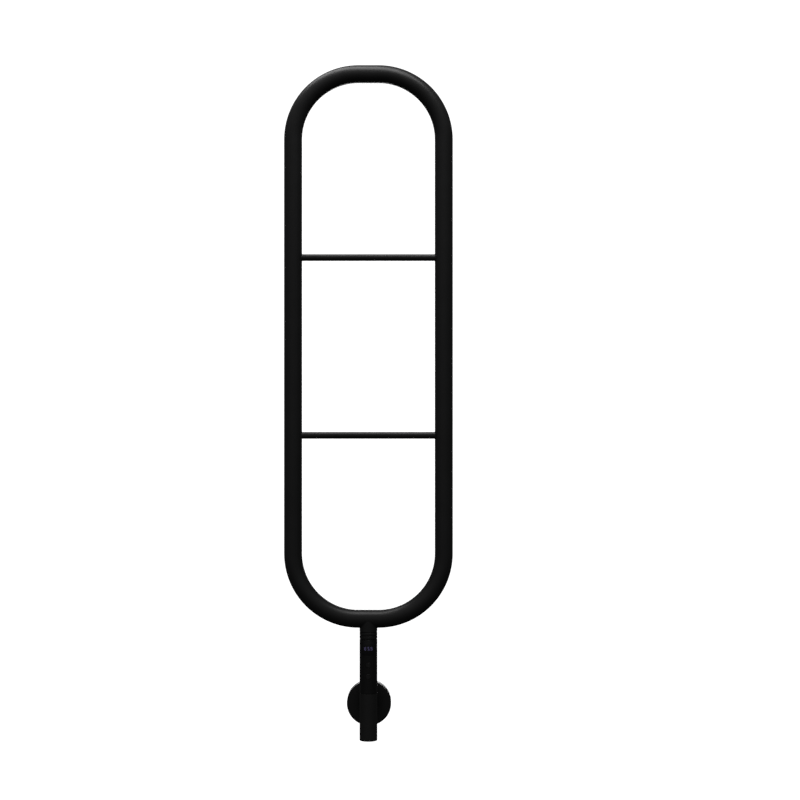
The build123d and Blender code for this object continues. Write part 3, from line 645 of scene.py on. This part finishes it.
def standoff_sleeve(node):
    """Sleeve behind an upright: welded to the tube in front, open to its wall boss behind."""
    spot, back = middle(node), high(node).y
    piece = open_ring(72, SLEEVE_R, (spot.x, back - EDGE_BREAK, spot.z), (pi / 2, 0, 0))
    begin_edit(piece)
    bpy.ops.mesh.select_all(action="SELECT")
    for _ in range(SLEEVE_RINGS):
        draw_out((0, -SLEEVE_LENGTH / (SLEEVE_RINGS + 1), 0))
    for gap, growth in weld_rings(SLEEVE_WELD):

        def behind_upright(point):
            arm = Vector((point.x - spot.x, point.z - spot.z)).normalized() * (SLEEVE_R + growth)
            reach = saddle_gap(arm.x, TUBE_R) + gap
            return Vector((spot.x + arm.x, PLANE_Y + reach, spot.z + arm.y))

        draw_out((0, 0, 0))
        place_points(piece, behind_upright)
    bpy.ops.mesh.edge_face_add()
    pick(piece, lambda v: v.co.y > back - 1.2 * EDGE_BREAK)
    draw_out((0, EDGE_BREAK, 0))
    shrink = (SLEEVE_R - EDGE_BREAK) / SLEEVE_R
    bpy.ops.transform.resize(
        value=(shrink, 1, shrink), center_override=(spot.x, back, spot.z)
    )
    bpy.ops.mesh.edge_face_add()
    close_up()
    end_edit()
    behind, inner_end = (spot.x, back + MM, spot.z), (spot.x, PLANE_Y + TUBE_R, spot.z)
    carve(piece, drill(behind, inner_end, SLEEVE_BORE_R, 64))
    screw_y = middle("bracket_set_screws").y
    inside, below = (spot.x, screw_y, spot.z - 5 * MM), (spot.x, screw_y, spot.z - 20 * MM)
    carve(piece, drill(inside, below, SLEEVE_SCREW_R, 32))
    return piece


# ------------------------------------------------------------------ finishes
class Recipe:
    """A Principled material with short words for the nodes that its pattern needs."""

    def __init__(self, name, color, roughness, metallic=0.0, specular=0.5):
        self.material = bpy.data.materials.new(name)
        self.material.use_nodes = True
        self.tree = self.material.node_tree
        self.shader = self.tree.nodes["Principled BSDF"]
        self.color = color
        self.set("Base Color", (*color, 1))
        self.set("Roughness", roughness)
        self.set("Metallic", metallic)
        self.set("Specular IOR Level", specular)
        self.place = self.tree.nodes.new("ShaderNodeTexCoord").outputs["Object"]

    def set(self, socket, value):
        self.shader.inputs[socket].default_value = value

    def wire(self, output, socket):
        self.tree.links.new(output, self.shader.inputs[socket])

    def noise(self, scale, detail=3.0, stretch=(1, 1, 1)):
        """Noise over the piece; scale is in cells per metre."""
        mapping = self.tree.nodes.new("ShaderNodeMapping")
        mapping.inputs["Scale"].default_value = stretch
        self.tree.links.new(self.place, mapping.inputs["Vector"])
        texture = self.tree.nodes.new("ShaderNodeTexNoise")
        texture.inputs["Scale"].default_value = scale
        texture.inputs["Detail"].default_value = detail
        self.tree.links.new(mapping.outputs["Vector"], texture.inputs["Vector"])
        return texture.outputs["Fac"]

    def rings(self, centre, scale):
        """Uneven rings round the Y axis through a centre; scale is in cells per metre."""
        nodes, links = self.tree.nodes, self.tree.links
        mapping = nodes.new("ShaderNodeMapping")
        mapping.inputs["Scale"].default_value = (1, 0, 1)
        mapping.inputs["Location"].default_value = (-centre.x, 0, -centre.z)
        radius = nodes.new("ShaderNodeVectorMath")
        radius.operation = "LENGTH"
        texture = nodes.new("ShaderNodeTexNoise")
        texture.noise_dimensions = "1D"
        texture.inputs["Scale"].default_value = scale
        links.new(self.place, mapping.inputs["Vector"])
        links.new(mapping.outputs["Vector"], radius.inputs[0])
        links.new(radius.outputs["Value"], texture.inputs["W"])
        return texture.outputs["Fac"]

    def span(self, value, low_end, high_end, from_low=0.3, from_high=0.7):
        """Value mapped to a range of numbers."""
        node = self.tree.nodes.new("ShaderNodeMapRange")
        node.inputs["From Min"].default_value = from_low
        node.inputs["From Max"].default_value = from_high
        node.inputs["To Min"].default_value = low_end
        node.inputs["To Max"].default_value = high_end
        self.tree.links.new(value, node.inputs["Value"])
        return node.outputs["Result"]

    def tint(self, value, dark, light, from_low=0.3, from_high=0.7):
        """Value mapped to a colour between two."""
        node = self.tree.nodes.new("ShaderNodeMix")
        node.data_type = "RGBA"
        node.inputs["A"].default_value = (*dark, 1)
        node.inputs["B"].default_value = (*light, 1)
        share = self.span(value, 0, 1, from_low, from_high)
        self.tree.links.new(share, node.inputs["Factor"])
        return node.outputs["Result"]

    def relief(self, heights):
        """Bump from (value, depth in metres) pairs, one on top of the other."""
        last = None
        for value, depth in heights:
            node = self.tree.nodes.new("ShaderNodeBump")
            node.inputs["Distance"].default_value = depth
            self.tree.links.new(value, node.inputs["Height"])
            if last:
                self.tree.links.new(last, node.inputs["Normal"])
            last = node.outputs["Normal"]
        self.wire(last, "Normal")

    def shades(self, scale, change):
        """Uneven tone: the base colour, a little darker and lighter."""
        dark = [c * (1 - change) for c in self.color]
        light = [c * (1 + change) for c in self.color]
        self.wire(self.tint(self.noise(scale), dark, light), "Base Color")

    def gloss(self, scale, low_end, high_end, stretch=(1, 1, 1)):
        """Uneven gloss: roughness between two ends."""
        clouds = self.noise(scale, stretch=stretch)
        self.wire(self.span(clouds, low_end, high_end), "Roughness")


def powder_coat(name, color, rough, grain):
    """Baked powder paint: orange peel, a fine grain and slightly uneven gloss."""
    coat = Recipe(name, color, rough)
    coat.shades(scale=35, change=0.12)
    coat.gloss(scale=60, low_end=rough - 0.03, high_end=rough + 0.04)
    orange_peel, speckle = coat.noise(380, detail=2), coat.noise(1500, detail=3)
    coat.relief([(orange_peel, grain), (speckle, grain * 0.6)])
    return coat.material


def moulded(name, color, rough, grain, specular=0.5):
    """Moulded plastic with a fine spark-eroded texture."""
    plastic = Recipe(name, color, rough, specular=specular)
    plastic.shades(scale=50, change=0.08)
    plastic.gloss(scale=90, low_end=rough - 0.03, high_end=rough + 0.03)
    plastic.relief([(plastic.noise(3200, detail=2), grain)])
    return plastic.material


def rubber(name, color, rough=0.75):
    """Dull rubber or silicone, a little blotchy."""
    soft = Recipe(name, color, rough, specular=0.35)
    soft.shades(scale=80, change=0.2)
    soft.gloss(scale=150, low_end=rough - 0.08, high_end=rough + 0.08)
    soft.relief([(soft.noise(1800, detail=3), 0.02 * MM)])
    return soft.material


def plated_metal(name, color, rough):
    """Small stamped or drawn metal parts with a cloudy plating and fine scratches."""
    metal = Recipe(name, color, rough, metallic=1.0)
    metal.shades(scale=120, change=0.1)
    metal.gloss(scale=900, low_end=rough - 0.06, high_end=rough + 0.1, stretch=(0.2, 3, 3))
    scratches = metal.noise(2500, detail=2, stretch=(0.15, 2, 2))
    metal.relief([(scratches, 0.008 * MM)])
    return metal.material


def lathe_turned(name, color, rough, centre):
    """Faced on a lathe: fine grooves round the Y axis through the centre, cloudy plating."""
    metal = Recipe(name, color, rough, metallic=1.0)
    grooves = metal.rings(centre, scale=5200)
    metal.shades(scale=120, change=0.1)
    metal.wire(metal.span(grooves, rough - 0.05, rough + 0.12), "Roughness")
    metal.relief([(metal.noise(300, detail=2), 0.02 * MM), (grooves, 0.008 * MM)])
    return metal.material


def smoked_window(name, color):
    """Dark glossy pane; what is lit behind it shows through dimly."""
    pane = Recipe(name, color, 0.18)
    pane.gloss(scale=70, low_end=0.16, high_end=0.21)
    pane.set("Alpha", 0.88)
    pane.set("IOR", 1.49)
    return pane.material


def glowing(name, color, strength):
    """Lit bars of the digits, their light a little uneven."""
    lit = Recipe(name, color, 0.4)
    lit.shades(scale=900, change=0.06)
    lit.set("Emission Color", (*color, 1))
    lit.wire(lit.span(lit.noise(700, detail=2), strength * 0.9, strength), "Emission Strength")
    return lit.material


def circuit_board(name, color):
    """Green solder mask over fine tracks."""
    board = Recipe(name, color, 0.35)
    tracks = board.tree.nodes.new("ShaderNodeTexBrick")
    tracks.inputs["Scale"].default_value = 160
    tracks.inputs["Mortar Size"].default_value = 0.04
    board.tree.links.new(board.place, tracks.inputs["Vector"])
    light = [min(1, c * 1.8 + 0.01) for c in color]
    board.wire(board.tint(tracks.outputs["Fac"], color, light, 0, 1), "Base Color")
    board.gloss(scale=200, low_end=0.28, high_end=0.42)
    board.relief([(tracks.outputs["Fac"], 0.03 * MM)])
    return board.material


def make_finishes():
    """One finish for each material slot of the record."""
    rgb = {m["slot"]: tuple(m["base_color"][:3]) for m in frame["record"]["materials"]}
    return {
        "powder_black": powder_coat("powder_black", (0.0155, 0.0155, 0.0160), 0.39, 0.06 * MM),
        "fitting_black": powder_coat("fitting_black", (0.0110, 0.0110, 0.0115), 0.40, 0.04 * MM),
        "rose_black": powder_coat("rose_black", (0.0070, 0.0070, 0.0075), 0.42, 0.04 * MM),
        "head_black": moulded("head_black", (0.0045, 0.0045, 0.0050), 0.34, 0.008 * MM, 0.42),
        "elbow_black": moulded("elbow_black", (0.0160, 0.0160, 0.0163), 0.48, 0.02 * MM),
        "button_grey": moulded("button_grey", (0.0095, 0.0095, 0.0100), 0.42, 0.01 * MM),
        "symbol_print": moulded("symbol_print", (0.028, 0.028, 0.030), 0.5, 0.005 * MM),
        "window_smoke": smoked_window("window_smoke", (0.006, 0.006, 0.008)),
        "display_face": moulded("display_face", (0.003, 0.003, 0.004), 0.6, 0.01 * MM),
        "digit_glow": glowing("digit_glow", (0.51, 0.445, 1.0), 8.3),
        "gasket_rubber": rubber("gasket_rubber", rgb["gasket_rubber"]),
        "zinc_plated": plated_metal("zinc_plated", rgb["zinc_plated"], 0.34),
        "screw_steel": plated_metal("screw_steel", rgb["screw_steel"], 0.30),
        "brass_fitting": plated_metal("brass_fitting", rgb["brass_fitting"], 0.25),
        "heater_sheath": rubber("heater_sheath", rgb["heater_sheath"], 0.55),
        "crimp_tin": plated_metal("crimp_tin", rgb["crimp_tin"], 0.35),
        "probe_steel": plated_metal("probe_steel", rgb["probe_steel"], 0.28),
        "lead_silicone": rubber("lead_silicone", rgb["lead_silicone"], 0.5),
        "board_green": circuit_board("board_green", rgb["board_green"]),
        "carrier_plastic": moulded("carrier_plastic", rgb["carrier_plastic"], 0.5, 0.02 * MM),
        "component_black": moulded("component_black", rgb["component_black"], 0.5, 0.03 * MM),
        "relay_blue": moulded("relay_blue", rgb["relay_blue"], 0.3, 0.01 * MM),
        "terminal_green": moulded("terminal_green", rgb["terminal_green"], 0.45, 0.02 * MM),
        "plunger_plastic": moulded("plunger_plastic", rgb["plunger_plastic"], 0.4, 0.01 * MM),
    }


# ------------------------------------------------------------------ the object
finishes = make_finishes()
for part in frame["record"]["subparts"]:
    node, finish = part["node"], finishes[part["material_slot"]]
    if node.startswith("wall_boss") or node == "wall_plate":
        plating = finish.node_tree.nodes["Principled BSDF"].inputs["Base Color"]
        finish = lathe_turned("turned_" + node, plating.default_value[:3], 0.32, middle(node))
    for holder in frame["nodes"][node].material_slots:
        holder.material = finish

hand_in(u_bend(1), "top_bend", "frame", "powder_black", "top_bend_tube")
hand_in(u_bend(-1), "bottom_bend", "frame", "powder_black", "bottom_bend_tube")
hand_in(upright(-TUBE_X), "left_upright", "frame", "powder_black", "left_upright_tube")
hand_in(upright(TUBE_X), "right_upright", "frame", "powder_black", "right_upright_tube")
for node in ("upper_rung", "lower_rung"):
    hand_in(rung(middle(node).z), node + "_bar", "frame", "powder_black", node)
hand_in(branch_stub(), "welded_stub", "frame", "powder_black", "branch_stub")
for place in ("upper_left", "upper_right", "lower_left", "lower_right"):
    node = "standoff_sleeve_" + place
    hand_in(standoff_sleeve(node), "welded_sleeve_" + place, "frame", "powder_black", node)

for node in ("union_ring", "lock_ring"):
    hand_in(bevelled_ring(node), "bevelled_" + node, "frame", "fitting_black", node)
hand_in(head_shell(), "head_casing", "frame", "head_black", "head_shell")
hand_in(window_pane(), "window_pane", "frame", "window_smoke", "display_lens")
hand_in(elbow_housing(), "elbow_casing", "frame", "elbow_black", "elbow_housing")
hand_in(bottom_cap(), "foot_plug", "frame", "elbow_black", "bottom_cap")
hand_in(wall_arm(), "arm_tube", "frame", "fitting_black", "wall_arm")
hand_in(wall_rose(), "rose_cover", "rose", "rose_black", "wall_rose")

hand_in(button_cap("power_button"), "power_cap", "power_button", "button_grey", "power_button")
hand_in(button_cap("mode_button"), "mode_cap", "mode_button", "button_grey", "mode_button")
hand_in(power_symbol(), "power_symbol", "power_button", "symbol_print")
hand_in(mode_symbol(), "mode_symbol", "mode_button", "symbol_print")


# ------------------------------------------------------------------ stage, light and camera
def stage():
    """Pale floor far below the hung object; it throws no light back up at it."""
    width, floor_z = 6.4, -1.6
    rest_hands()
    bpy.ops.mesh.primitive_plane_add(size=width, location=(0, 0, floor_z))
    floor = bpy.context.object
    floor.name = "floor"
    pale = Recipe("pale_floor", (0.8, 0.8, 0.8), 0.8)
    pale.shades(scale=4, change=0.01)
    pale.set("Emission Color", (1, 1, 1, 1))
    pale.set("Emission Strength", 0.74)
    floor.data.materials.append(pale.material)
    floor.visible_diffuse = floor.visible_glossy = False


def softbox(name, place, aim, width, height, power):
    """Oblong area lamp at a place, aimed at a point; power in watts."""
    lamp = bpy.data.lights.new(name, "AREA")
    lamp.shape, lamp.size, lamp.size_y, lamp.energy = "RECTANGLE", width, height, power
    holder = bpy.data.objects.new(name, lamp)
    holder.location = place
    way = Vector(aim) - Vector(place)
    holder.rotation_euler = way.to_track_quat("-Z", "Y").to_euler()
    bpy.context.scene.collection.objects.link(holder)


def surroundings(seen):
    """White to the eye; as a light, a dim tent: brightest above and in front, dark behind."""
    brightest_way = Vector((-0.08, -0.5, 0.86)).normalized()
    stops = [(0.0, 0.005), (0.4, 0.045), (0.7, 0.09), (0.82, 0.155), (1.0, 0.23)]
    world = bpy.data.worlds.new("studio")
    world.use_nodes = True
    bpy.context.scene.world = world
    nodes, links = world.node_tree.nodes, world.node_tree.links
    way = nodes.new("ShaderNodeTexCoord")
    facing = nodes.new("ShaderNodeVectorMath")
    facing.operation = "DOT_PRODUCT"
    facing.inputs[1].default_value = brightest_way
    share = nodes.new("ShaderNodeMapRange")
    share.inputs["From Min"].default_value = -1
    tent = nodes.new("ShaderNodeValToRGB")
    ramp = tent.color_ramp.elements
    while len(ramp) < len(stops):
        ramp.new(0.5)
    for stop, (place, grey) in zip(ramp, stops):
        stop.position, stop.color = place, (grey, grey, grey, 1)
    ray = nodes.new("ShaderNodeLightPath")
    choice = nodes.new("ShaderNodeMix")
    choice.data_type = "RGBA"
    choice.inputs["B"].default_value = (seen, seen, seen, 1)
    links.new(way.outputs["Generated"], facing.inputs[0])
    links.new(facing.outputs["Value"], share.inputs["Value"])
    links.new(share.outputs["Result"], tent.inputs["Fac"])
    links.new(ray.outputs["Is Camera Ray"], choice.inputs["Factor"])
    links.new(tent.outputs["Color"], choice.inputs["A"])
    links.new(choice.outputs["Result"], nodes["Background"].inputs["Color"])


def camera():
    """Straight on, a little below the loop's middle and a little to the right."""
    distance, view_width = 3.30, 1.4222
    eye_x, eye_z = 0.0561, -0.0951
    eye = bpy.data.cameras.new("camera")
    eye.sensor_width = 36
    eye.lens = eye.sensor_width * distance / view_width
    holder = bpy.data.objects.new("camera", eye)
    holder.location = (eye_x, PLANE_Y - distance, eye_z)
    holder.rotation_euler = (pi / 2, 0, 0)
    bpy.context.scene.collection.objects.link(holder)
    bpy.context.scene.camera = holder


stage()
surroundings(seen=1.2)
softbox(
    "overhead", place=(-0.10, -0.20, 1.30), aim=(0, PLANE_Y, 0), width=1.6, height=0.50, power=10
)
softbox("behind", place=(0, 3.2, -0.3), aim=(0, 0, -0.1), width=1.2, height=2.2, power=30)
camera()
bpy.context.scene.view_settings.view_transform = "Standard"
